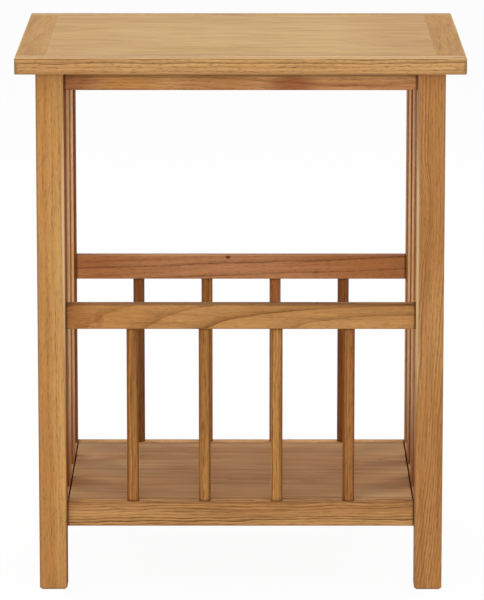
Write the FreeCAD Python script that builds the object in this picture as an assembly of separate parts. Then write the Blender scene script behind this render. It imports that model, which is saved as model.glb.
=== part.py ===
import FreeCAD, Part
import collections
import os

# Magazine table in solid oak: a framed top on four legs, slatted sides, and a
# rack of spindles standing on the rails of a boarded shelf.
# Millimetres, +Z up, front at -Y, origin on the floor under the middle of the top.

Vector = FreeCAD.Vector

# Whole table
top_width = 450.0
top_depth = 350.0
table_height = 550.0
top_overhang = 20.0

# Table top: boards framed by two end boards and two full-width edge rails
top_thickness = 17.0
edge_rail_width = 20.0
end_board_width = 30.0
top_board_count = 5
top_arris = 1.6
groove_depth = 6.0
groove_stop = 10.0
tongue_thickness = 6.0

# Legs
leg_size = 28.0
leg_arris = 1.6
foot_chamfer = 2.0

# Rails, all flush with the inner faces of the legs, with stub tenons nearer their outer faces
rail_thickness = 17.0
rail_arris = 1.4
apron_height = 20.0
rack_rail_height = 25.0
rack_rail_top = 294.0
shelf_rail_height = 25.0
rail_tenon_thickness = 7.0
rail_tenon_cheek = 2.0
rail_tenon_shoulder = 4.0
shelf_top = 89.0

# Rack spindles
spindle_diameter = 12.0
spindle_count = 4
spindle_seat = 10.0

# Side slats with stub tenons
slat_width = 48.0
slat_thickness = 14.0
slat_count = 2
slat_arris = 1.2
tenon_length = 10.0
tenon_thickness = 7.0
tenon_shoulder = 4.0

# Shelf boards glued on two battens
shelf_board_count = 4
shelf_thickness = 15.0
shelf_end_gap = 1.5
shelf_seam = 0.3
shelf_arris = 0.8
batten_width = 20.0
batten_height = 10.0

# Countersunk screws up through the aprons into the top
screw_diameter = 4.0
screw_head_diameter = 8.0
screw_bite_share = 0.65
apron_screw_seat = 9.0
apron_screw_share = 0.5

# Clearances, the overrun of cuts, and the distance within which two places are one
glue_gap = 0.1
end_gap = 0.5
cut_overrun = 1.0
same_place = 0.01

# Sizes that follow from the ones above
leg_height = table_height - top_thickness
inner_x = top_width / 2 - top_overhang - leg_size
inner_y = top_depth / 2 - top_overhang - leg_size
rail_mid_y = inner_y + rail_thickness / 2
apron_bottom = leg_height - apron_height
rack_rail_bottom = rack_rail_top - rack_rail_height
shelf_rail_bottom = shelf_top - shelf_rail_height
shelf_bottom = shelf_top - shelf_thickness
batten_bottom = shelf_bottom - batten_height
field_x = top_width / 2 - end_board_width
field_y = top_depth / 2 - edge_rail_width
top_board_width = 2 * field_y / top_board_count
shelf_reach = inner_y - shelf_seam
shelf_board_width = 2 * shelf_reach / shelf_board_count
tongue_length = groove_depth - end_gap
tongue_low = leg_height + (top_thickness - tongue_thickness) / 2
tongue_high = tongue_low + tongue_thickness
stub_x = top_width / 2 - groove_stop
rail_tenon_far = rail_thickness - rail_tenon_cheek
rail_tenon_near = rail_tenon_far - rail_tenon_thickness

along_x = Vector(1, 0, 0)
along_y = Vector(0, 1, 0)
along_z = Vector(0, 0, 1)

sides = {"left": -1, "right": 1}
faces = {"front": -1, "rear": 1}


def block(x_ends, y_ends, z_ends):
    low = Vector(min(x_ends), min(y_ends), min(z_ends))
    high = Vector(max(x_ends), max(y_ends), max(z_ends))
    size = high - low
    return Part.makeBox(size.x, size.y, size.z, low)


def rod(start, end, diameter):
    run = end - start
    return Part.makeCylinder(diameter / 2, run.Length, start, run)


def outline(points):
    return Part.Face(Part.makePolygon(points + points[:1]))


def evenly(count, width, half_span):
    # middles of equal pieces that leave equal gaps between two end faces
    gap = (2 * half_span - count * width) / (count + 1)
    return [(gap + width) * (place + 1) - width / 2 - half_span for place in range(count)]


def runs_along(edge, axis):
    line = edge.Vertexes[-1].Point - edge.Vertexes[0].Point
    return line.cross(axis).Length < same_place


def eased(shape, radius, chosen):
    return shape.makeFillet(radius, [edge for edge in shape.Edges if chosen(edge)])


def drilled(shape, cutters):
    # takes away only the cutters that reach into the piece
    for cutter in cutters:
        if shape.BoundBox.intersect(cutter.BoundBox):
            shape = shape.cut(cutter)
    return shape


def save(node, shape):
    shape.exportStep("parts/" + node + ".step")


# Screws and the holes that they sit in

def screw_profile(length, gap):
    # from the rim of the head to the end of the shank, for a head whose flat lies at height zero
    head_radius = screw_head_diameter / 2 + gap
    shank_radius = screw_diameter / 2 + gap
    return [
        Vector(head_radius, 0, 0),
        Vector(shank_radius, 0, head_radius - shank_radius),
        Vector(shank_radius, 0, length),
        Vector(0, 0, length),
    ]


def turned(profile, foot):
    shape = outline(profile).revolve(Vector(), along_z, 360)
    shape.translate(foot)
    return shape


screw_length = apron_screw_seat + top_thickness * screw_bite_share
top_screw_seats = [
    Vector(way_x * inner_x * apron_screw_share, way_y * rail_mid_y, leg_height - apron_screw_seat)
    for way_x in sides.values() for way_y in faces.values()
]
top_screws = [turned([Vector()] + screw_profile(screw_length, 0), seat) for seat in top_screw_seats]

# each hole opens as a bore in the underside of the apron
bore_depth = apron_height - apron_screw_seat + cut_overrun
hole_profile = screw_profile(screw_length + end_gap, glue_gap)
bore_rim = hole_profile[0] - along_z * bore_depth
bore_middle = Vector(0, 0, -bore_depth)
top_screw_holes = [turned([bore_middle, bore_rim] + hole_profile, seat) for seat in top_screw_seats]

# Spindles and their blind seats

spindle_places = evenly(spindle_count, spindle_diameter, inner_x)


def spindle(x, way_y, spare, gap):
    foot = Vector(x, way_y * rail_mid_y, shelf_top - spindle_seat - spare)
    head = Vector(x, way_y * rail_mid_y, rack_rail_bottom + spindle_seat + spare)
    return rod(foot, head, spindle_diameter + 2 * gap)


spindle_seats = [
    spindle(x, way_y, end_gap, glue_gap) for way_y in faces.values() for x in spindle_places
]

# Slats and their mortises

slat_places = evenly(slat_count, slat_width, inner_y)
slat_mid_x = inner_x + slat_thickness / 2


def slat_tenon(way_x, y, spare, gap):
    # one bar through the slat, standing out of both its ends
    half_width = slat_width / 2 - tenon_shoulder + gap
    half_thick = tenon_thickness / 2 + gap
    middle = way_x * slat_mid_x
    return block(
        (middle - half_thick, middle + half_thick),
        (y - half_width, y + half_width),
        (shelf_top - tenon_length - spare, apron_bottom + tenon_length + spare),
    )


def slat(way_x, y):
    body = block(
        (way_x * inner_x, way_x * (inner_x + slat_thickness)),
        (y - slat_width / 2, y + slat_width / 2),
        (shelf_top, apron_bottom),
    )
    body = eased(body, slat_arris, lambda edge: runs_along(edge, along_z))
    return body.fuse(slat_tenon(way_x, y, 0, 0)).removeSplitter()


mortises = [
    slat_tenon(way_x, y, end_gap, glue_gap) for way_x in sides.values() for y in slat_places
]


# Rails and their tenons

def cross_way(along, across, height):
    return Vector(along, across, height)


def side_way(along, across, height):
    return Vector(across, along, height)


def rail_tenon(rail, way, spare, gap):
    # one bar through the rail, standing out of both its ends, mitred where two rails meet in a leg
    far = rail_tenon_far + gap
    near = rail_tenon_near - gap
    far_tip = rail.half_length + far - end_gap + spare
    near_tip = far_tip - (far - near if rail.mitred else 0)
    low = rail.low + rail_tenon_shoulder - gap
    high = rail.high - rail_tenon_shoulder + gap
    corners = ((-near_tip, near), (near_tip, near), (far_tip, far), (-far_tip, far))
    plan = [rail.place(along, way * (rail.face + across), low) for along, across in corners]
    return outline(plan).extrude(along_z * (high - low))


def rail_shape(rail, way):
    # the edge against the shelf boards stays square, so that the joint is tight
    near = rail.place(-rail.half_length, way * rail.face, rail.low)
    far = rail.place(rail.half_length, way * (rail.face + rail_thickness), rail.high)
    bar = block((near.x, far.x), (near.y, far.y), (near.z, far.z))
    middle = rail.face + rail_thickness / 2

    def chosen(edge):
        if not runs_along(edge, rail.place(1, 0, 0)):
            return False
        point = edge.CenterOfMass
        across = abs(rail.place(point.x, point.y, 0).y)
        return not (rail.holds_shelf and across < middle and point.z > shelf_bottom)

    bar = eased(bar, rail_arris, chosen)
    return bar.fuse(rail_tenon(rail, way, 0, 0)).removeSplitter()


Rail = collections.namedtuple("Rail", "place half_length face low high mitred holds_shelf")
apron = Rail(cross_way, inner_x, inner_y, apron_bottom, leg_height, True, False)
rack_rail = Rail(cross_way, inner_x, inner_y, rack_rail_bottom, rack_rail_top, False, False)
shelf_rail = Rail(cross_way, inner_x, inner_y, shelf_rail_bottom, shelf_top, True, True)
side_top_rail = Rail(side_way, inner_y, inner_x, apron_bottom, leg_height, True, False)
side_low_rail = Rail(side_way, inner_y, inner_x, shelf_rail_bottom, shelf_top, True, False)

leg_mortises = [
    rail_tenon(rail, way, end_gap, glue_gap)
    for rail in (apron, rack_rail, shelf_rail, side_top_rail, side_low_rail) for way in (-1, 1)
]


# Legs

def leg_outline(side, height):
    half = side / 2
    reach = half - leg_arris
    edges = []
    for turn in (0, 90, 180, 270):
        flat = Part.makeLine(Vector(half, -reach, height), Vector(half, reach, height))
        corner = Part.makeCircle(leg_arris, Vector(reach, reach, height), along_z, 0, 90)
        for edge in (flat, corner):
            edge.rotate(Vector(), along_z, turn)
            edges.append(edge)
    return Part.Wire(edges)


def leg(way_x, way_y):
    sole = leg_outline(leg_size - 2 * foot_chamfer, 0)
    ankle = leg_outline(leg_size, foot_chamfer)
    foot = Part.makeLoft([sole, ankle], True, True)
    post = Part.Face(ankle).extrude(along_z * (leg_height - foot_chamfer))
    shape = foot.fuse(post).removeSplitter()
    shape.translate(Vector(way_x * (inner_x + leg_size / 2), way_y * (inner_y + leg_size / 2), 0))
    return drilled(shape, leg_mortises)


# Table top

def rims(edge):
    # edges on the outline of the top, without the ends of the seams
    middle = edge.CenterOfMass
    at_end = abs(middle.x) > top_width / 2 - same_place
    at_front = abs(middle.y) > top_depth / 2 - same_place
    if runs_along(edge, along_z):
        return at_end and at_front
    return at_end or at_front


def edge_rail(way_y):
    board = block(
        (-top_width / 2, top_width / 2),
        (way_y * field_y, way_y * top_depth / 2),
        (leg_height, table_height),
    )
    groove = block(
        (-stub_x - end_gap, stub_x + end_gap),
        (way_y * (field_y - cut_overrun), way_y * (field_y + groove_depth)),
        (tongue_low - glue_gap, tongue_high + glue_gap),
    )
    return eased(board, top_arris, rims).cut(groove)


def end_board(way_x):
    board = block(
        (way_x * field_x, way_x * top_width / 2),
        (-field_y, field_y),
        (leg_height, table_height),
    )
    stubs = block(
        (way_x * (field_x + groove_depth), way_x * stub_x),
        (-field_y - tongue_length, field_y + tongue_length),
        (tongue_low, tongue_high),
    )
    groove = block(
        (way_x * (field_x - cut_overrun), way_x * (field_x + groove_depth)),
        (-field_y - cut_overrun, field_y + cut_overrun),
        (tongue_low - glue_gap, tongue_high + glue_gap),
    )
    return eased(board, top_arris, rims).fuse(stubs).cut(groove).removeSplitter()


def top_board(place):
    front = place * top_board_width - field_y
    back = front + top_board_width
    board = block((-field_x, field_x), (front, back), (leg_height, table_height))
    tongue_x = field_x + tongue_length
    board = board.fuse(block((-tongue_x, tongue_x), (front, back), (tongue_low, tongue_high)))
    tongues_y = []
    if place == 0:
        tongues_y.append((front - tongue_length, front))
    if place == top_board_count - 1:
        tongues_y.append((back, back + tongue_length))
    for y_ends in tongues_y:
        board = board.fuse(block((-field_x, field_x), y_ends, (tongue_low, tongue_high)))
    return drilled(board.removeSplitter(), top_screw_holes)


# Shelf

def shelf_board(place):
    end = inner_x - shelf_end_gap
    board = block(
        (-end, end),
        (place - shelf_board_width / 2, place + shelf_board_width / 2),
        (shelf_bottom, shelf_top),
    )
    return eased(board, shelf_arris, lambda edge: (
        runs_along(edge, along_y) and edge.CenterOfMass.z > shelf_bottom))


def batten(way_x):
    return block(
        (way_x * (inner_x - batten_width), way_x * inner_x),
        (-inner_y, inner_y),
        (batten_bottom, shelf_bottom),
    )


os.makedirs("parts", exist_ok=True)

for face, way_y in faces.items():
    save("top_edge_" + face, edge_rail(way_y))
    save("apron_" + face, drilled(rail_shape(apron, way_y), top_screw_holes))
    save("rack_rail_" + face, drilled(rail_shape(rack_rail, way_y), spindle_seats))
    save("shelf_rail_" + face, drilled(rail_shape(shelf_rail, way_y), spindle_seats))
    for number, x in enumerate(spindle_places, 1):
        save("spindle_" + face + "_" + str(number), spindle(x, way_y, 0, 0))

for side, way_x in sides.items():
    save("top_end_" + side, end_board(way_x))
    save("side_top_rail_" + side, drilled(rail_shape(side_top_rail, way_x), mortises))
    save("side_low_rail_" + side, drilled(rail_shape(side_low_rail, way_x), mortises))
    for number, y in enumerate(slat_places, 1):
        save("slat_" + side + "_" + str(number), slat(way_x, y))
    save("shelf_batten_" + side, batten(way_x))
    for face, way_y in faces.items():
        save("leg_" + face + "_" + side, leg(way_x, way_y))

for place in range(top_board_count):
    save("top_board_" + str(place + 1), top_board(place))

for number, place in enumerate(evenly(shelf_board_count, shelf_board_width, shelf_reach), 1):
    save("shelf_board_" + str(number), shelf_board(place))

save("top_screws", Part.makeCompound(top_screws))
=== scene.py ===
import math

import bpy
from mathutils import Matrix, Vector


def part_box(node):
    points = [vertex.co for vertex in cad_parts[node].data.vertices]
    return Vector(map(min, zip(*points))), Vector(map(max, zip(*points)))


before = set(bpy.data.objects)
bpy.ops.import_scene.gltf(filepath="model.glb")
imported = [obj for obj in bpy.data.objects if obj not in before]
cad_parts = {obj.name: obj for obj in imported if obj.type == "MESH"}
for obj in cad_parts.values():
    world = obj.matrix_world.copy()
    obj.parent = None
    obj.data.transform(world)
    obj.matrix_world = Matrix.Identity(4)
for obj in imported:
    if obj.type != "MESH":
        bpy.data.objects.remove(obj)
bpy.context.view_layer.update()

mm = 0.001


# small helpers

def toLinear(code):
    # sRGB hex to the linear colour that a shader takes
    channels = []
    for start in (1, 3, 5):
        value = int(code[start:start + 2], 16) / 255
        channels.append(value / 12.92 if value <= 0.04045 else ((value + 0.055) / 1.055) ** 2.4)
    return (*channels, 1.0)


def addNode(tree, kind, inputs, **settings):
    # a linked input is a node, whose first output is used, or one of its output sockets
    node = tree.nodes.new(kind)
    for name, value in settings.items():
        setattr(node, name, value)
    for key, value in inputs.items():
        if isinstance(value, bpy.types.Node):
            tree.links.new(value.outputs[0], node.inputs[key])
        elif isinstance(value, bpy.types.NodeSocket):
            tree.links.new(value, node.inputs[key])
        else:
            node.inputs[key].default_value = value
    return node


def emptyMaterial(name):
    material = bpy.data.materials.new(name)
    material.use_nodes = True
    material.node_tree.nodes.clear()
    return material


def boxOf(nodes):
    corners = [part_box(node) for node in nodes]
    low = Vector([min(box[0][axis] for box in corners) for axis in range(3)])
    high = Vector([max(box[1][axis] for box in corners) for axis in range(3)])
    return low, high


# Oak, planed and sanded, with a thin satin lacquer. It is ring-porous: each year's ring starts with a band
# of open pores that reads as a dark broken line, and the rest of the ring is dense and pale. Cut nearly along
# the rings the lines open into arches, cut across them they are tight stripes. All patterns are solid, so
# that they run round the edges and show as arcs on the end grain.
oakBase = {
    "grain": "X",               # the piece's long fibres
    "pith": (0.0, -120.0),      # heart of the tree from the middle of the piece, mm, across the grain
    "tilt": (0.0, 0.0),         # lean of the tree's axis, degrees
    "sweep": 0.0,               # bow of the tree's axis, mm in the first 100 mm
    "sweepFrom": 0.0,           # where the bow starts, mm along the grain from the middle of the piece
    "seed": 0,
    "ringWidth": 3.6,           # mm
    "ringDepth": 0.7,
    "ringEdge": 3.0,            # higher makes the dark line thinner
    "warp": 5.0,                # mm that the rings wander
    "warpSize": (130.0, 24.0),  # mm along and across the grain
    "swirls": (),               # rings that bulge round a knot: place in the world, reach and bulge, mm
    "toneSize": (420.0, 26.0),  # mm along and across the grain
    "streakDepth": 0.35,
    "sapFrom": 1000.0,          # mm from the heart at which the pale sapwood starts
    "light": "#c79a5f",
    "deep": "#b98a50",
    "line": "#8a5a2c",
    "sap": "#d3ac74",
    "pore": "#5f3a1a",
    "poreDepth": 0.6,
    "poreSize": (7.0, 1.0),     # mm; real pores are 0.3 mm wide, drawn three times as coarse to show
    "arrisShading": "#d9b482",           # arris: painted highlight where this colour is pale, painted shade where it is dark
    "arrisShadingDepth": 0.6,
    "arrisShadingWidth": 2.2,            # mm
    "seamAxis": None,           # world axis across a glued seam
    "seamDepth": 0.45,
    "seamWidth": 0.7,           # mm
    "patches": (),              # spots under the rings: place in the world and reach, mm, colour, depth
    "knotsAndPaintedLight": (),                # the same over the rings: knots and other marks, and painted highlights and shade
    "shadedFaces": (),               # painted shade on faces that look one way: the way they face, what it leaves of the colour, and their least roughness
                                # colour, and their least roughness
    "corners": (),              # painted shade where neighbours' faces meet: world axis, place on it, m, and width of the shade, mm
    "corner": "#4a1f08",        # colour of the painted shade
    "cornerShadeDepth": 0.8,
    "roughness": 0.6,
    "specular": 0.12,
}
oakSizes = {
    # length along the grain and width across it, mm, and octaves
    "streak": (150.0, 5.0, 3.0),
    "fibre": (38.0, 1.3, 2.0),
}
oakOctaves = {"warp": 4.0, "tone": 2.0, "pore": 1.0}
oakFixed = {
    # the same on every piece; each pair is where an effect begins and where it ends
    "toneLevels": (0.36, 0.64),
    "streakLevels": (0.48, 0.74),
    "poreLevels": (0.55, 0.62),
    "fibreLevels": (0.3, 0.7),
    "fibreTones": (0.9, 1.1),
    "sweepRun": 100.0,          # mm
    "firstRing": 100.0,         # keeps the count of rings above nought
    "faintRing": 0.25,          # faintest year, as a part of ringDepth
    "latePores": 0.5,           # pores left in the dense late wood
    "sapBlend": 2.0,            # mm
    "markLevels": (0.6, 1.3),   # in reaches
    "markUneven": 0.6,
    "endLevels": (0.6, 0.95),   # how squarely a face looks along the grain
    "endTone": 0.66,
    "shadedFaceLevels": (0.6, 0.9),  # how squarely a face looks the way of the painted shade
    "arrisShadingFull": 0.4,             # mm from the edge
    "arrisShadingLevels": (0.3, 0.55),
    "seamFull": 0.2,            # mm from the piece's side
    "seamStop": (2.0, 4.0),     # mm from the outer edge
    "cornerShadeFull": 0.3,          # part of the width
    "poreRough": 0.4,
    "ringSunk": 0.35,
    "bumpStrength": 0.5,
    "bumpHeight": 0.12,         # mm
    "ior": 1.5,
}
grainTurns = {
    # rows: along the grain, then the two ways across it
    "X": Matrix(((1, 0, 0), (0, 1, 0), (0, 0, 1))),
    "Y": Matrix(((0, 1, 0), (0, 0, 1), (1, 0, 0))),
    "Z": Matrix(((0, 0, 1), (1, 0, 0), (0, 1, 0))),
}


def addApart(tree, where, spot, reach):
    # distance from a spot, 1 at its reach
    apart = addNode(tree, "ShaderNodeVectorMath", {
        0: where, 1: Vector([1 / (side * mm) for side in reach]),
        2: Vector([-place / side for place, side in zip(spot, reach)])}, operation="MULTIPLY_ADD")
    return addNode(tree, "ShaderNodeVectorMath", {0: apart}, operation="LENGTH").outputs["Value"]


def addMarks(tree, colour, marks, where, uneven):
    # soft spots of another colour, with rims that follow the fibres
    begin, end = oakFixed["markLevels"]
    for spot, reach, tint, part in marks:
        apart = addApart(tree, where, spot, reach)
        apart = addNode(tree, "ShaderNodeMath", {
            0: uneven, 1: oakFixed["markUneven"], 2: apart}, operation="MULTIPLY_ADD")
        markPart = addNode(tree, "ShaderNodeMapRange", {
            "Value": apart, "From Min": begin, "From Max": end, "To Min": part, "To Max": 0.0},
            interpolation_type="SMOOTHSTEP")
        colour = addNode(tree, "ShaderNodeMixRGB", {
            "Fac": markPart, "Color1": colour, "Color2": toLinear(tint)})
    return colour


def oakMaterial(name, look, own, whole):
    # own is the piece's box, whole the box whose outer edges get the painted arris highlight and shade
    material = emptyMaterial(name)
    tree = material.node_tree

    straight = grainTurns[look["grain"]]
    lean = Matrix.Rotation(math.radians(look["tilt"][0]), 3, "Y")
    lean = lean @ Matrix.Rotation(math.radians(look["tilt"][1]), 3, "Z")
    turn = lean @ straight
    middle = (own[0] + own[1]) / 2 / mm
    pith = middle + straight.transposed() @ Vector((0.0, *look["pith"]))
    shift = look["seed"] * Vector((3.7, 1.9, 2.3))  # each piece has its own part of every pattern

    where = addNode(tree, "ShaderNodeTexCoord", {}).outputs["Object"]
    grain = addNode(tree, "ShaderNodeMapping", {
        "Vector": where, "Location": -(turn @ pith), "Rotation": turn.to_euler(), "Scale": (1 / mm,) * 3})

    sizes = dict(oakSizes)
    for key, octaves in oakOctaves.items():
        sizes[key] = (*look[key + "Size"], octaves)
    noise = {}
    for key, (length, width, octaves) in sizes.items():
        spread = addNode(tree, "ShaderNodeVectorMath", {
            0: grain, 1: (1 / length, 1 / width, 1 / width), 2: shift}, operation="MULTIPLY_ADD")
        noise[key] = addNode(tree, "ShaderNodeTexNoise", {"Vector": spread, "Scale": 1.0, "Detail": octaves})

    # growth rings
    across = addNode(tree, "ShaderNodeVectorMath", {0: grain, 1: (0.0, 1.0, 1.0)}, operation="MULTIPLY")
    if look["sweep"]:
        along = addNode(tree, "ShaderNodeSeparateXYZ", {0: grain})
        run = addNode(tree, "ShaderNodeMath", {0: along, 1: look["sweepFrom"]}, operation="SUBTRACT")
        bow = addNode(tree, "ShaderNodeMath", {0: run, 1: run}, operation="MULTIPLY")
        bow = addNode(tree, "ShaderNodeMath", {
            0: bow, 1: look["sweep"] / oakFixed["sweepRun"] ** 2}, operation="MULTIPLY")
        aside = addNode(tree, "ShaderNodeCombineXYZ", {1: bow})
        across = addNode(tree, "ShaderNodeVectorMath", {0: across, 1: aside}, operation="ADD")
    radius = addNode(tree, "ShaderNodeVectorMath", {0: across}, operation="LENGTH").outputs["Value"]
    bend = addNode(tree, "ShaderNodeMath", {
        0: noise["warp"], 1: 2 * look["warp"], 2: -look["warp"]}, operation="MULTIPLY_ADD")
    depth = addNode(tree, "ShaderNodeMath", {0: radius, 1: bend}, operation="ADD")
    for spot, reach, bulge in look["swirls"]:
        swirl = addNode(tree, "ShaderNodeMapRange", {
            "Value": addApart(tree, where, spot, reach), "To Min": bulge, "To Max": 0.0},
            interpolation_type="SMOOTHSTEP")
        depth = addNode(tree, "ShaderNodeMath", {0: depth, 1: swirl}, operation="ADD")
    rings = addNode(tree, "ShaderNodeMath", {
        0: depth, 1: 1 / look["ringWidth"], 2: oakFixed["firstRing"] + look["seed"]},
        operation="MULTIPLY_ADD")
    inRing = addNode(tree, "ShaderNodeMath", {0: rings}, operation="FRACT")
    late = addNode(tree, "ShaderNodeMath", {0: 1.0, 1: inRing}, operation="SUBTRACT")
    early = addNode(tree, "ShaderNodeMath", {0: late, 1: look["ringEdge"]}, operation="POWER")
    year = addNode(tree, "ShaderNodeMath", {0: rings}, operation="FLOOR")
    mood = addNode(tree, "ShaderNodeTexWhiteNoise", {"W": year}, noise_dimensions="1D")
    ringPart = addNode(tree, "ShaderNodeMapRange", {
        "Value": mood, "To Min": oakFixed["faintRing"] * look["ringDepth"], "To Max": look["ringDepth"]})
    ringLine = addNode(tree, "ShaderNodeMath", {0: early, 1: ringPart}, operation="MULTIPLY")

    # open pores, crowded in the early wood
    begin, end = oakFixed["poreLevels"]
    poreDash = addNode(tree, "ShaderNodeMapRange", {
        "Value": noise["pore"], "From Min": begin, "From Max": end, "To Max": look["poreDepth"]})
    poreCrowd = addNode(tree, "ShaderNodeMapRange", {
        "Value": early, "To Min": oakFixed["latePores"], "To Max": 1.0})
    pores = addNode(tree, "ShaderNodeMath", {0: poreDash, 1: poreCrowd}, operation="MULTIPLY")

    # colour from broad to fine
    begin, end = oakFixed["toneLevels"]
    tone = addNode(tree, "ShaderNodeMapRange", {"Value": noise["tone"], "From Min": begin, "From Max": end})
    colour = addNode(tree, "ShaderNodeMixRGB", {
        "Fac": tone, "Color1": toLinear(look["light"]), "Color2": toLinear(look["deep"])})
    sapPart = addNode(tree, "ShaderNodeMapRange", {
        "Value": depth, "From Min": look["sapFrom"] - oakFixed["sapBlend"],
        "From Max": look["sapFrom"] + oakFixed["sapBlend"]})
    colour = addNode(tree, "ShaderNodeMixRGB", {
        "Fac": sapPart, "Color1": colour, "Color2": toLinear(look["sap"])})
    colour = addMarks(tree, colour, look["patches"], where, noise["streak"])
    begin, end = oakFixed["streakLevels"]
    streak = addNode(tree, "ShaderNodeMapRange", {
        "Value": noise["streak"], "From Min": begin, "From Max": end, "To Max": look["streakDepth"]})
    for part, tint in ((streak, "line"), (ringLine, "line"), (pores, "pore")):
        colour = addNode(tree, "ShaderNodeMixRGB", {
            "Fac": part, "Color1": colour, "Color2": toLinear(look[tint])})
    begin, end = oakFixed["fibreLevels"]
    dim, bright = oakFixed["fibreTones"]
    fibre = addNode(tree, "ShaderNodeMapRange", {
        "Value": noise["fibre"], "From Min": begin, "From Max": end, "To Min": dim, "To Max": bright})
    colour = addNode(tree, "ShaderNodeVectorMath", {0: colour, 1: fibre}, operation="MULTIPLY")

    # end grain soaks up more lacquer and is darker
    normal = addNode(tree, "ShaderNodeNewGeometry", {}).outputs["Normal"]
    facing = addNode(tree, "ShaderNodeVectorMath", {0: normal, 1: straight[0]}, operation="DOT_PRODUCT")
    ended = addNode(tree, "ShaderNodeMath", {0: facing.outputs["Value"]}, operation="ABSOLUTE")
    begin, end = oakFixed["endLevels"]
    endTone = addNode(tree, "ShaderNodeMapRange", {
        "Value": ended, "From Min": begin, "From Max": end, "To Min": 1.0, "To Max": oakFixed["endTone"]})
    colour = addNode(tree, "ShaderNodeVectorMath", {0: colour, 1: endTone}, operation="MULTIPLY")

    # painted shade on faces that look one way, darker than the rest
    mattParts = []
    begin, end = oakFixed["shadedFaceLevels"]
    for way, tint, matt in look["shadedFaces"]:
        looking = addNode(tree, "ShaderNodeVectorMath", {0: normal, 1: way}, operation="DOT_PRODUCT")
        faceShadePart = addNode(tree, "ShaderNodeMapRange", {
            "Value": looking.outputs["Value"], "From Min": begin, "From Max": end})
        colour = addNode(tree, "ShaderNodeMixRGB", {
            "Fac": faceShadePart, "Color1": colour, "Color2": toLinear(tint)}, blend_type="MULTIPLY")
        if matt:
            mattParts.append(addNode(tree, "ShaderNodeMath", {0: faceShadePart, 1: matt}, operation="MULTIPLY"))

    # painted highlight and shade on the arris: the middle one of the distances to the three pairs of faces is
    # the distance to an edge
    half = (whole[1] - whole[0]) / 2 / mm
    centre = (whole[0] + whole[1]) / 2 / mm
    offset = addNode(tree, "ShaderNodeVectorMath", {
        0: where, 1: (1 / mm,) * 3, 2: -centre}, operation="MULTIPLY_ADD")
    offset = addNode(tree, "ShaderNodeVectorMath", {0: offset}, operation="ABSOLUTE")
    inside = addNode(tree, "ShaderNodeVectorMath", {0: half, 1: offset}, operation="SUBTRACT")
    toFace = addNode(tree, "ShaderNodeSeparateXYZ", {0: inside}).outputs
    nearer = addNode(tree, "ShaderNodeMath", {0: toFace[0], 1: toFace[1]}, operation="MINIMUM")
    farther = addNode(tree, "ShaderNodeMath", {0: toFace[0], 1: toFace[1]}, operation="MAXIMUM")
    second = addNode(tree, "ShaderNodeMath", {0: farther, 1: toFace[2]}, operation="MINIMUM")
    toEdge = addNode(tree, "ShaderNodeMath", {0: nearer, 1: second}, operation="MAXIMUM")
    arrisShadingBand = addNode(tree, "ShaderNodeMapRange", {
        "Value": toEdge, "From Min": oakFixed["arrisShadingFull"], "From Max": look["arrisShadingWidth"],
        "To Min": look["arrisShadingDepth"], "To Max": 0.0})
    begin, end = oakFixed["arrisShadingLevels"]
    patchy = addNode(tree, "ShaderNodeMapRange", {
        "Value": noise["streak"], "From Min": begin, "From Max": end})
    arrisShading = addNode(tree, "ShaderNodeMath", {0: arrisShadingBand, 1: patchy}, operation="MULTIPLY")
    colour = addNode(tree, "ShaderNodeMixRGB", {
        "Fac": arrisShading, "Color1": colour, "Color2": toLinear(look["arrisShading"])})

    colour = addMarks(tree, colour, look["knotsAndPaintedLight"], where, noise["streak"])

    # glue line along a seam, a hair of dark that stops before the outer edge
    if look["seamAxis"] is not None:
        axis = look["seamAxis"]
        ownHalf = (own[1][axis] - own[0][axis]) / 2 / mm
        ownPlace = addNode(tree, "ShaderNodeSeparateXYZ", {0: where})
        fromMiddle = addNode(tree, "ShaderNodeMath", {
            0: ownPlace.outputs[axis], 1: 1 / mm, 2: -middle[axis]}, operation="MULTIPLY_ADD")
        fromMiddle = addNode(tree, "ShaderNodeMath", {0: fromMiddle}, operation="ABSOLUTE")
        seam = addNode(tree, "ShaderNodeMapRange", {
            "Value": fromMiddle, "From Min": ownHalf - look["seamWidth"],
            "From Max": ownHalf - oakFixed["seamFull"], "To Max": look["seamDepth"]})
        begin, end = oakFixed["seamStop"]
        within = addNode(tree, "ShaderNodeMapRange", {
            "Value": toFace[axis], "From Min": begin, "From Max": end})
        seamPart = addNode(tree, "ShaderNodeMath", {0: seam, 1: within}, operation="MULTIPLY")
        colour = addNode(tree, "ShaderNodeMixRGB", {
            "Fac": seamPart, "Color1": colour, "Color2": toLinear(look["line"])})

    # painted shade in the corners where a neighbour's face meets the piece
    for axis, neighbour, width in look["corners"]:
        ownPlace = addNode(tree, "ShaderNodeSeparateXYZ", {0: where})
        apart = addNode(tree, "ShaderNodeMath", {
            0: ownPlace.outputs[axis], 1: neighbour}, operation="SUBTRACT")
        apart = addNode(tree, "ShaderNodeMath", {0: apart}, operation="ABSOLUTE")
        cornerShadePart = addNode(tree, "ShaderNodeMapRange", {
            "Value": apart, "From Min": oakFixed["cornerShadeFull"] * width * mm, "From Max": width * mm,
            "To Min": look["cornerShadeDepth"], "To Max": 0.0})
        colour = addNode(tree, "ShaderNodeMixRGB", {
            "Fac": cornerShadePart, "Color1": colour, "Color2": toLinear(look["corner"])})
        mattParts.append(cornerShadePart)
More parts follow.
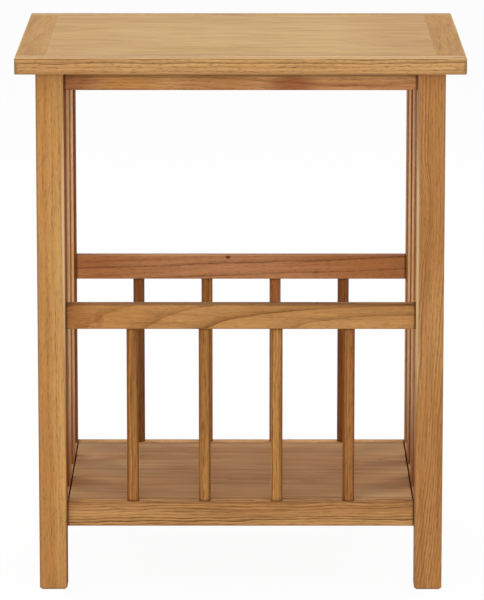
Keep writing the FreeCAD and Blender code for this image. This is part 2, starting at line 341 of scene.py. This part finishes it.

    # lacquer sinks into the pores and lies thin over them, and the faces and corners with painted shade are
    # matt
    rough = addNode(tree, "ShaderNodeMath", {
        0: pores, 1: oakFixed["poreRough"], 2: look["roughness"]}, operation="MULTIPLY_ADD")
    for part in mattParts:
        rough = addNode(tree, "ShaderNodeMath", {0: rough, 1: part}, operation="MAXIMUM")
    sunk = addNode(tree, "ShaderNodeMath", {
        0: ringLine, 1: oakFixed["ringSunk"], 2: pores}, operation="MULTIPLY_ADD")
    height = addNode(tree, "ShaderNodeMath", {0: 1.0, 1: sunk}, operation="SUBTRACT")
    bump = addNode(tree, "ShaderNodeBump", {
        "Height": height, "Strength": oakFixed["bumpStrength"], "Distance": oakFixed["bumpHeight"] * mm})
    shader = addNode(tree, "ShaderNodeBsdfPrincipled", {
        "Base Color": colour, "Roughness": rough, "Normal": bump, "IOR": oakFixed["ior"],
        "Specular IOR Level": look["specular"]})
    addNode(tree, "ShaderNodeOutputMaterial", {"Surface": shader})
    return material


def dress(node, material):
    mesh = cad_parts[node].data
    mesh.materials.clear()
    mesh.materials.append(material)


def dressOak(wood, common, pieces, whole=None):
    for node, change in pieces.items():
        look = {**oakBase, **common, **change}
        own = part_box(node)
        dress(node, oakMaterial(wood + "_" + node, look, own, whole or own))
    print(wood, len(pieces), "pieces")


# Table top: calm pale boards, framed by browner end boards and edge rails with close dark lines
topNodes = [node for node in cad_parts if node.startswith("top_") and node != "top_screws"]
topBox = boxOf(topNodes)

# the pale arris colour from oakBase, here and on the end boards, is a painted highlight round the top's edges
fieldLook = {"grain": "X", "ringWidth": 9.0, "ringDepth": 0.22, "ringEdge": 2.0, "warp": 10.0,
             "warpSize": (110.0, 30.0), "toneSize": (160.0, 60.0), "streakDepth": 0.16, "light": "#c59d5b",
             "deep": "#b88d49", "line": "#8a5e2a", "poreSize": (70.0, 1.8), "poreDepth": 0.34, "seamAxis": 1,
             "seamDepth": 0.1, "roughness": 0.48, "specular": 0.24,
             "patches": (((175.0, 20.0, 545.0), (90.0, 260.0, 60.0), "#ae7b37", 0.5),
                         ((-175.0, 30.0, 545.0), (70.0, 260.0, 60.0), "#b7873f", 0.35))}
fieldPieces = {
    "top_board_1": {"pith": (24.0, -50.0), "tilt": (1.0, 0.5), "seed": 1},
    "top_board_2": {"pith": (-16.0, -34.0), "tilt": (-1.2, 0.4), "seed": 2},
    "top_board_3": {"pith": (10.0, -45.0), "tilt": (1.4, -0.5), "seed": 3},
    "top_board_4": {"pith": (-20.0, -38.0), "tilt": (-0.8, -0.6), "seed": 4},
    "top_board_5": {"pith": (30.0, -55.0), "tilt": (0.9, 0.8), "seed": 5},
}
dressOak("oakTopPlanedLacquered", fieldLook, fieldPieces, topBox)

endLook = {"grain": "Y", "ringWidth": 6.0, "ringDepth": 0.5, "warp": 6.0, "light": "#c39249",
           "deep": "#ab7c39", "line": "#84501f", "pore": "#7c4a20", "poreSize": (40.0, 1.6), "poreDepth": 0.3,
           "seamAxis": 0, "seamDepth": 0.2, "roughness": 0.52, "specular": 0.15}
endPieces = {
    "top_end_left": {"pith": (-60.0, 30.0), "tilt": (2.0, 3.0), "seed": 11, "ringDepth": 0.3,
                     "poreDepth": 0.12, "light": "#bd8f48", "deep": "#a77938"},
    "top_end_right": {"pith": (-40.0, -50.0), "tilt": (0.0, -2.0), "seed": 12},
}
dressOak("oakTopEndPlanedLacquered", endLook, endPieces, topBox)

# the pale arris colour here is a painted highlight along the front edge
edgeLook = {"grain": "X", "ringWidth": 3.7, "ringDepth": 1.3, "ringEdge": 2.4, "warp": 5.0,
            "light": "#dcab6c", "deep": "#c99557", "line": "#7b4a1a", "arrisShading": "#f0cf9c", "arrisShadingDepth": 0.9,
            "arrisShadingWidth": 1.4, "seamAxis": 1, "seamDepth": 0.05, "roughness": 0.48, "specular": 0.25}
edgePieces = {
    "top_edge_front": {"pith": (26.0, -95.4), "tilt": (0.3, 0.0), "seed": 21, "seamDepth": 0.95,
                       "seamWidth": 4.5,
                       "patches": (((-190.0, -175.0, 536.0), (90.0, 20.0, 30.0), "#b98146", 0.45),),
                       "knotsAndPaintedLight": (((-40.0, -165.0, 552.0), (480.0, 60.0, 6.0), "#d0a869", 0.5),
                                 # painted shade on the two end corners of the front face and along its lower
                                 # edge
                                 ((-225.0, -175.0, 540.0), (4.5, 8.0, 12.0), "#8f6a45", 0.85),
                                 ((225.0, -175.0, 540.0), (4.5, 8.0, 12.0), "#8f6a45", 0.85),
                                 ((0.0, -175.0, 532.0), (900.0, 8.0, 4.5), "#a3743f", 0.85))},
    "top_edge_rear": {"pith": (-30.0, -82.0), "tilt": (0.2, 0.0), "seed": 22, "light": "#c7a05e",
                      "deep": "#b58944"},
}
dressOak("oakTopEdgePlanedLacquered", edgeLook, edgePieces, topBox)

# Legs: straight narrow stripes, with a swirl of rings on the right front leg
# the dark arris colour here is painted shade on the legs' edges
legLook = {"grain": "Z", "ringWidth": 2.9, "ringDepth": 0.6, "warp": 5.0, "light": "#cc9352",
           "deep": "#bb8243", "line": "#835223", "poreSize": (7.0, 1.0), "poreDepth": 0.42, "pore": "#70421d",
           "arrisShading": "#947049", "arrisShadingDepth": 0.9, "roughness": 0.52, "specular": 0.2}
legPieces = {
    "leg_front_left": {"pith": (-46.0, 20.0), "tilt": (0.3, 0.5), "sapFrom": 58.0, "sap": "#d09b59",
                       "seed": 31, "ringWidth": 6.0, "ringDepth": 0.45, "streakDepth": 0.2,
                       "patches": (((-191.0, -141.0, 470.0), (60.0, 60.0, 110.0), "#b9803f", 0.35),),
                       # painted shade low on the inner face by the shelf, and a painted highlight along the
                       # inner front arris
                       "knotsAndPaintedLight": (((-177.0, -137.0, 95.0), (8.0, 15.0, 80.0), "#6a3416", 0.7),
                                 ((-177.0, -155.0, 350.0), (4.0, 5.0, 190.0), "#ecca98", 0.7)),
                       # painted shade on the inner face
                       "shadedFaces": (((1, 0, 0), "#c8aa94", 1.0),)},
    "leg_front_right": {"pith": (-60.0, 30.0), "sweep": 1.5, "sweepFrom": 180.0, "seed": 32, "ringWidth": 2.8,
                        "ringDepth": 0.9, "ringEdge": 2.4, "light": "#c98f51", "deep": "#b87f43",
                        "line": "#7d4a1c",
                        "swirls": (((178.0, -155.0, 392.0), (20.0, 40.0, 60.0), -16.0),),
                        "patches": (((191.0, -141.0, 270.0), (60.0, 60.0, 90.0), "#d39e60", 0.45),),
                        # painted shade low on the inner face by the shelf, and a painted highlight along the
                        # inner front arris
                        "knotsAndPaintedLight": (((177.0, -137.0, 95.0), (8.0, 15.0, 80.0), "#6a3416", 0.6),
                                  ((177.0, -155.0, 350.0), (4.0, 5.0, 190.0), "#ecca98", 0.7))},
    # painted shade: the rear legs are darker than the front ones for the shade under the top, the left one
    # most on its front and inner faces
    "leg_rear_left": {"pith": (-60.0, 60.0), "seed": 33, "light": "#bd8549", "deep": "#ac753b",
                      "arrisShadingDepth": 0.2, "shadedFaces": (((0, -1, 0), "#b59e90", 1.0), ((1, 0, 0), "#b59e90", 1.0))},
    "leg_rear_right": {"pith": (80.0, -40.0), "seed": 34, "light": "#bd8549", "deep": "#ac753b",
                       "arrisShadingDepth": 0.2},
}
dressOak("oakLegPlanedLacquered", legLook, legPieces)

# Rails: arches and close lines, redder in patches, with painted shade where they meet the legs and under the
# top
# the dark arris colour here is painted shade on the rails' edges
railLook = {"grain": "X", "ringWidth": 4.0, "ringDepth": 1.1, "ringEdge": 2.4, "warp": 4.0,
            "light": "#d19d61", "deep": "#bf8a52", "line": "#6d3f16", "arrisShading": "#7a4a24", "arrisShadingDepth": 0.45}
cornerShadeWidth = 2.6   # mm of painted shade, twice as wide as it is so that it shows
underTopShadeWidth = 7.5   # mm of painted shadow under the top's overhang
railEndShade = {}
for face in ("front", "rear"):
    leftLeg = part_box("leg_" + face + "_left")
    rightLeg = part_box("leg_" + face + "_right")
    railEndShade[face] = ((0, leftLeg[1][0], cornerShadeWidth), (0, rightLeg[0][0], cornerShadeWidth))
underTopShade = ((2, topBox[0][2], underTopShadeWidth),)
railPieces = {
    "apron_front": {"pith": (6.0, -13.0), "sweep": 2.6, "sweepFrom": 110.0, "ringWidth": 3.4, "seed": 41,
                    "light": "#d6a369", "deep": "#cc9060", "line": "#814924", "ringDepth": 0.7,
                    "poreDepth": 0.35,
                    "patches": (((-115.0, -150.0, 521.0), (48.0, 40.0, 30.0), "#cd9450", 0.85),
                                ((-168.0, -150.0, 524.0), (38.0, 40.0, 30.0), "#a9663a", 0.75),
                                ((-25.0, -150.0, 520.0), (50.0, 40.0, 30.0), "#bf8549", 0.6),
                                ((52.0, -150.0, 519.0), (34.0, 40.0, 14.0), "#a05a34", 0.75),
                                ((62.0, -150.0, 532.0), (30.0, 40.0, 5.0), "#6e3c1c", 0.6))},
    "apron_rear": {"pith": (-20.0, -70.0), "seed": 42},
    "rack_rail_front": {"pith": (7.1, -12.5), "tilt": (0.0, 1.7), "sweep": -2.2, "sweepFrom": 176.0,
                        "seed": 43, "ringWidth": 8.7, "ringEdge": 5.0, "warp": 3.0, "poreDepth": 0.38,
                        "specular": 0.06,
                        # painted shade on the top face, under the table top
                        "shadedFaces": (((0, 0, 1), "#dcdcdc", 0.2),),
                        "patches": (((-176.0, -150.0, 284.0), (36.0, 40.0, 40.0), "#9c5a2c", 0.6),
                                    ((-120.0, -150.0, 281.0), (60.0, 40.0, 40.0), "#b9793f", 0.4)),
                        "knotsAndPaintedLight": (((-143.0, -150.0, 280.0), (6.0, 40.0, 12.0), "#8c5226", 0.45),
                                  ((115.0, -155.0, 291.0), (115.0, 20.0, 7.0), "#c38e55", 0.6))},
    "rack_rail_rear": {"pith": (30.0, -48.5), "tilt": (2.2, 0.0), "ringWidth": 11.0, "ringEdge": 8.0,
                       "ringDepth": 0.8, "seed": 44, "light": "#c18755", "deep": "#b17546", "line": "#6d371a",
                       "poreDepth": 0.45, "arrisShadingDepth": 0.0,
                       # painted light: paler in the middle than at the shaded ends
                       "patches": (((-20.0, 127.0, 281.0), (150.0, 40.0, 60.0), "#dba678", 0.6),),
                       "knotsAndPaintedLight": (((-14.0, 127.0, 293.0), (4.0, 6.0, 3.0), "#5f3a1a", 0.9),)},
    "shelf_rail_front": {"pith": (20.0, -101.4), "tilt": (0.5, 0.0), "seed": 45, "ringWidth": 2.9,
                         "ringEdge": 2.4, "warp": 5.0, "warpSize": (80.0, 18.0), "ringDepth": 1.35,
                         "poreDepth": 0.45, "poreSize": (16.0, 1.1), "light": "#d6a366", "arrisShadingDepth": 0.5,
                         "arrisShadingWidth": 2.4},
    "shelf_rail_rear": {"pith": (-20.0, -80.0), "seed": 46, "light": "#e0ae74", "deep": "#d09c62",
                        "arrisShadingDepth": 0.0},
}
for node, change in railPieces.items():
    change["corners"] = railEndShade[node.split("_")[-1]] + (underTopShade if node.startswith("apron") else ())
dressOak("oakRailPlanedLacquered", railLook, railPieces)

# Rack spindles: turned from different sticks, so each front one has its own tone; the rear ones' tones and
# the darker sides are painted shade
spindleLook = {"grain": "Z", "ringWidth": 3.2, "ringDepth": 0.9, "ringEdge": 2.0, "warp": 3.0,
               "light": "#c08749", "deep": "#a86f35", "line": "#6a3c15", "arrisShadingDepth": 0.0,
               "poreSize": (12.0, 1.0), "cornerShadeDepth": 0.5,
               # painted shade on the left and right sides
               "shadedFaces": (((1, 0, 0), "#d4cdc4", 0.5), ((-1, 0, 0), "#d4cdc4", 0.5))}
spindleTonesAndShade = {
    "spindle_front_2": {"light": "#c68e50", "deep": "#ae753b"},
    # painted shade on one side only on this one
    "spindle_front_3": {"light": "#c9924f", "deep": "#af763a", "shadedFaces": spindleLook["shadedFaces"][:1]},
    "spindle_front_4": {"light": "#b2773f", "deep": "#975f2f"},
    # painted light and shade: the rear spindles' tones stand in for how much light reaches each behind the
    # front row
    "spindle_rear_1": {"light": "#9d6b40", "deep": "#895a32"},
    "spindle_rear_3": {"light": "#c98650", "deep": "#b06f3b"},
    "spindle_rear_4": {"light": "#9b643b", "deep": "#875229"},
}
spindlePieces = {}
for row, face in enumerate(("front", "rear")):
    # painted shade where the spindles meet the rails
    spindleEndShade = ((2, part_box("shelf_rail_" + face)[1][2], cornerShadeWidth),
                   (2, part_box("rack_rail_" + face)[0][2], cornerShadeWidth))
    for number in range(1, 5):
        node = "spindle_" + face + "_" + str(number)
        spindlePieces[node] = {
            "pith": (-40.0 + 23.0 * number, 50.0 - 17.0 * number), "seed": 50 + 4 * row + number,
            "corners": spindleEndShade, **spindleTonesAndShade.get(node, {})}
dressOak("oakSpindleTurnedLacquered", spindleLook, spindlePieces)

# Slatted sides: pale broad faces, partly painted sheen inside, painted shade on the narrow front edges, and a
# reddish painted shade at the foot above the shelf
slatLook = {"grain": "Z", "ringWidth": 3.4, "ringDepth": 0.5, "light": "#ebb67b", "deep": "#dda568",
            "line": "#9a6738", "roughness": 0.55, "specular": 0.1}
slatEdgeShade = {"left": ("#8c6850", "#ae8660"), "right": ("#bc9470", "#785640")}   # painted shade on the front edges
# the pale slat colour is partly the wood and partly painted sheen for the inner faces; this tint takes the
# sheen back off the outer faces
slatOutside = "#dfd2b4"
# painted shade, reddish, low on the slats just above the shelf
slatFootShade = {"spot": (177.0, 50.0, 89.0), "reach": (9.0, 70.0, 115.0), "colour": "#7c340e", "depth": 0.58}
slatPieces = {}
for place, (side, outward) in enumerate((("left", -1), ("right", 1))):
    for number, tint in enumerate(slatEdgeShade[side], 1):
        spotX, spotY, spotZ = slatFootShade["spot"]
        foot = (outward * spotX, (2 * number - 3) * spotY, spotZ)
        slatPieces["slat_" + side + "_" + str(number)] = {
            "pith": (-40.0 * outward, 30.0 - 45.0 * number), "seed": 60 + 2 * place + number,
            "shadedFaces": (((0, -1, 0), tint, 1.0), ((outward, 0, 0), slatOutside, 0.0)),
            "knotsAndPaintedLight": ((foot, slatFootShade["reach"], slatFootShade["colour"], slatFootShade["depth"]),)}
dressOak("oakSlatPlanedLacquered", slatLook, slatPieces)

sideRailLook = {"grain": "Y", "ringWidth": 3.8, "ringDepth": 0.8, "light": "#c59052", "deep": "#b68045",
                "line": "#7b4b20"}
sideRails = ("side_top_rail_left", "side_top_rail_right", "side_low_rail_left", "side_low_rail_right")
sideRailPieces = {}
for place, rail in enumerate(sideRails):
    sideRailPieces[rail] = {"pith": (-70.0, 25.0 - 15.0 * place), "seed": 70 + place}
dressOak("oakSideRailPlanedLacquered", sideRailLook, sideRailPieces)

# Shelf: quiet boards with faint broad figure, paler in places
shelfPale = "#dcbc8c"
shelfLook = {"grain": "X", "ringWidth": 6.0, "ringDepth": 0.32, "warp": 6.0, "streakDepth": 0.18,
             "light": "#c2986a", "deep": "#b5885c", "line": "#85532c", "poreSize": (40.0, 2.0),
             "poreDepth": 0.24, "seamAxis": 1, "seamDepth": 0.35, "seamWidth": 2.5, "arrisShadingDepth": 0.0,
             "specular": 0.08,
             "patches": (((171.0, 57.0, 88.0), (22.0, 22.0, 10.0), shelfPale, 0.7),
                         ((-166.0, 55.0, 88.0), (32.0, 18.0, 10.0), shelfPale, 0.6),
                         ((-122.0, 12.0, 88.0), (62.0, 48.0, 10.0), shelfPale, 0.5),
                         ((-150.0, 98.0, 88.0), (90.0, 40.0, 10.0), shelfPale, 0.25),
                         ((150.0, 98.0, 88.0), (90.0, 40.0, 10.0), shelfPale, 0.27),
                         ((132.0, -110.0, 88.0), (50.0, 40.0, 10.0), shelfPale, 0.42),
                         ((-162.0, -92.0, 88.0), (45.0, 30.0, 10.0), shelfPale, 0.25))}
shelfPieces = {
    "shelf_board_1": {"pith": (30.0, -60.0), "tilt": (0.8, 0.6), "seed": 81},
    "shelf_board_2": {"pith": (-20.0, -40.0), "tilt": (-1.0, 0.5), "seed": 82},
    "shelf_board_3": {"pith": (15.0, -50.0), "tilt": (1.2, -0.6), "seed": 83},
    "shelf_board_4": {"pith": (-35.0, -55.0), "tilt": (-0.7, -0.5), "seed": 84},
}
shelfBox = boxOf(["shelf_rail_front", "shelf_rail_rear", *shelfPieces])
for node, side, width in (("shelf_board_1", 0, 4.0), ("shelf_board_4", 1, 5.0)):
    # painted shade beside the shelf rails
    shelfPieces[node].update({"corners": ((1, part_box(node)[side][1], width),), "cornerShadeDepth": 0.3})
dressOak("oakShelfPlanedLacquered", shelfLook, shelfPieces, shelfBox)

battenLook = {"grain": "Y", "ringWidth": 3.6, "light": "#c59052", "deep": "#b68045", "roughness": 0.7}
battenPieces = {"shelf_batten_left": {"seed": 91}, "shelf_batten_right": {"seed": 92}}
dressOak("oakBattenSawnLacquered", battenLook, battenPieces)


# Screws: zinc-plated steel, bright and slightly blue, with the cloudy patches of the passivated plating
screwLook = {"bright": "#c9ccd0", "cloudy": "#a7a698", "patch": 1.2, "roughness": 0.22, "cloudyRough": 0.2}


def zincMaterial(name, look):
    material = emptyMaterial(name)
    tree = material.node_tree
    where = addNode(tree, "ShaderNodeTexCoord", {}).outputs["Object"]
    cloud = addNode(tree, "ShaderNodeTexNoise", {
        "Vector": where, "Scale": 1 / (look["patch"] * mm), "Detail": 3.0})
    colour = addNode(tree, "ShaderNodeMixRGB", {
        "Fac": cloud, "Color1": toLinear(look["bright"]), "Color2": toLinear(look["cloudy"])})
    rough = addNode(tree, "ShaderNodeMath", {
        0: cloud, 1: look["cloudyRough"], 2: look["roughness"]}, operation="MULTIPLY_ADD")
    shader = addNode(tree, "ShaderNodeBsdfPrincipled", {
        "Base Color": colour, "Roughness": rough, "Metallic": 1.0})
    addNode(tree, "ShaderNodeOutputMaterial", {"Surface": shader})
    return material


dress("top_screws", zincMaterial("zincPlatedSteelScrew", screwLook))
print("zinc plated steel, 4 screws")


# Floor, world, lamps and camera
def addSeen(tree):
    # 1 for what the camera sees, straight, in a reflection or through glass
    path = addNode(tree, "ShaderNodeLightPath", {})
    seen = path.outputs["Is Camera Ray"]
    for ray in ("Is Glossy Ray", "Is Transmission Ray"):
        seen = addNode(tree, "ShaderNodeMath", {0: seen, 1: path.outputs[ray]}, operation="MAXIMUM")
    return seen


# white is the part of the floor that glows for the camera, and the rest keeps the shadow
floorLook = {"reach": 30.0, "colour": "#f7f7f7", "white": 0.958}


def makeFloor(look):
    reach = look["reach"]
    mesh = bpy.data.meshes.new("studioFloor")
    corners = [(-reach, -reach, 0.0), (reach, -reach, 0.0), (reach, reach, 0.0), (-reach, reach, 0.0)]
    mesh.from_pydata(corners, [], [(0, 1, 2, 3)])
    floor = bpy.data.objects.new("studioFloor", mesh)
    bpy.context.scene.collection.objects.link(floor)
    material = emptyMaterial("paleStudioFloor")
    tree = material.node_tree
    matt = addNode(tree, "ShaderNodeBsdfDiffuse", {"Color": toLinear(look["colour"])})
    white = addNode(tree, "ShaderNodeEmission", {"Strength": 1.0})
    part = addNode(tree, "ShaderNodeMath", {0: addSeen(tree), 1: look["white"]}, operation="MULTIPLY")
    mixed = addNode(tree, "ShaderNodeMixShader", {0: part, 1: matt, 2: white})
    addNode(tree, "ShaderNodeOutputMaterial", {"Surface": mixed})
    mesh.materials.append(material)


makeFloor(floorLook)

worldLook = {"colour": "#ffffff", "light": 0.36, "shown": 1.0}
world = bpy.data.worlds.new("studioWorld")
bpy.context.scene.world = world
world.use_nodes = True
sky = world.node_tree
sky.nodes.clear()
skyLevel = addNode(sky, "ShaderNodeMapRange", {
    "Value": addSeen(sky), "To Min": worldLook["light"], "To Max": worldLook["shown"]})
skyShader = addNode(sky, "ShaderNodeBackground", {
    "Color": toLinear(worldLook["colour"]), "Strength": skyLevel})
addNode(sky, "ShaderNodeOutputWorld", {"Surface": skyShader})

lampLook = {
    # mirrored is off for lamps that would whiten the lacquer seen along the top
    "keySoftbox": {"place": (-0.9, -2.4, 2.9), "size": 1.8, "power": 20.0, "mirrored": True},
    "overheadSoftbox": {"place": (0.0, 0.0, 3.2), "size": 2.4, "power": 29.0, "mirrored": True},
    "frontSoftbox": {"place": (0.3, -5.6, 2.0), "size": 1.6, "power": 80.0, "mirrored": True},
    "leftSoftbox": {"place": (-2.2, 1.5, 1.1), "size": 1.3, "power": 34.0, "mirrored": False},
    "rightSoftbox": {"place": (2.2, 1.5, 1.1), "size": 1.3, "power": 34.0, "mirrored": False},
}
lampAim = Vector((0.0, 0.0, 0.3))
for name, look in lampLook.items():
    lamp = bpy.data.lights.new(name, "AREA")
    lamp.shape = "SQUARE"
    lamp.size = look["size"]
    lamp.energy = look["power"]
    holder = bpy.data.objects.new(name, lamp)
    holder.location = look["place"]
    holder.visible_glossy = look["mirrored"]
    holder.rotation_euler = (lampAim - holder.location).to_track_quat("-Z", "Y").to_euler()
    bpy.context.scene.collection.objects.link(holder)

cameraLook = {"place": (0.0066, -4.447, 1.1425), "aim": (0.0012, 0.0, 0.2709), "lens": 260.4,
              "clipEnd": 100.0}
camera = bpy.data.cameras.new("photoCamera")
camera.lens = cameraLook["lens"]
camera.clip_end = cameraLook["clipEnd"]
cameraHolder = bpy.data.objects.new("photoCamera", camera)
cameraHolder.location = cameraLook["place"]
sight = Vector(cameraLook["aim"]) - cameraHolder.location
cameraHolder.rotation_euler = sight.to_track_quat("-Z", "Y").to_euler()
bpy.context.scene.collection.objects.link(cameraHolder)
bpy.context.scene.camera = cameraHolder
bpy.context.scene.view_settings.view_transform = "Standard"
print("floor, lamps and camera")
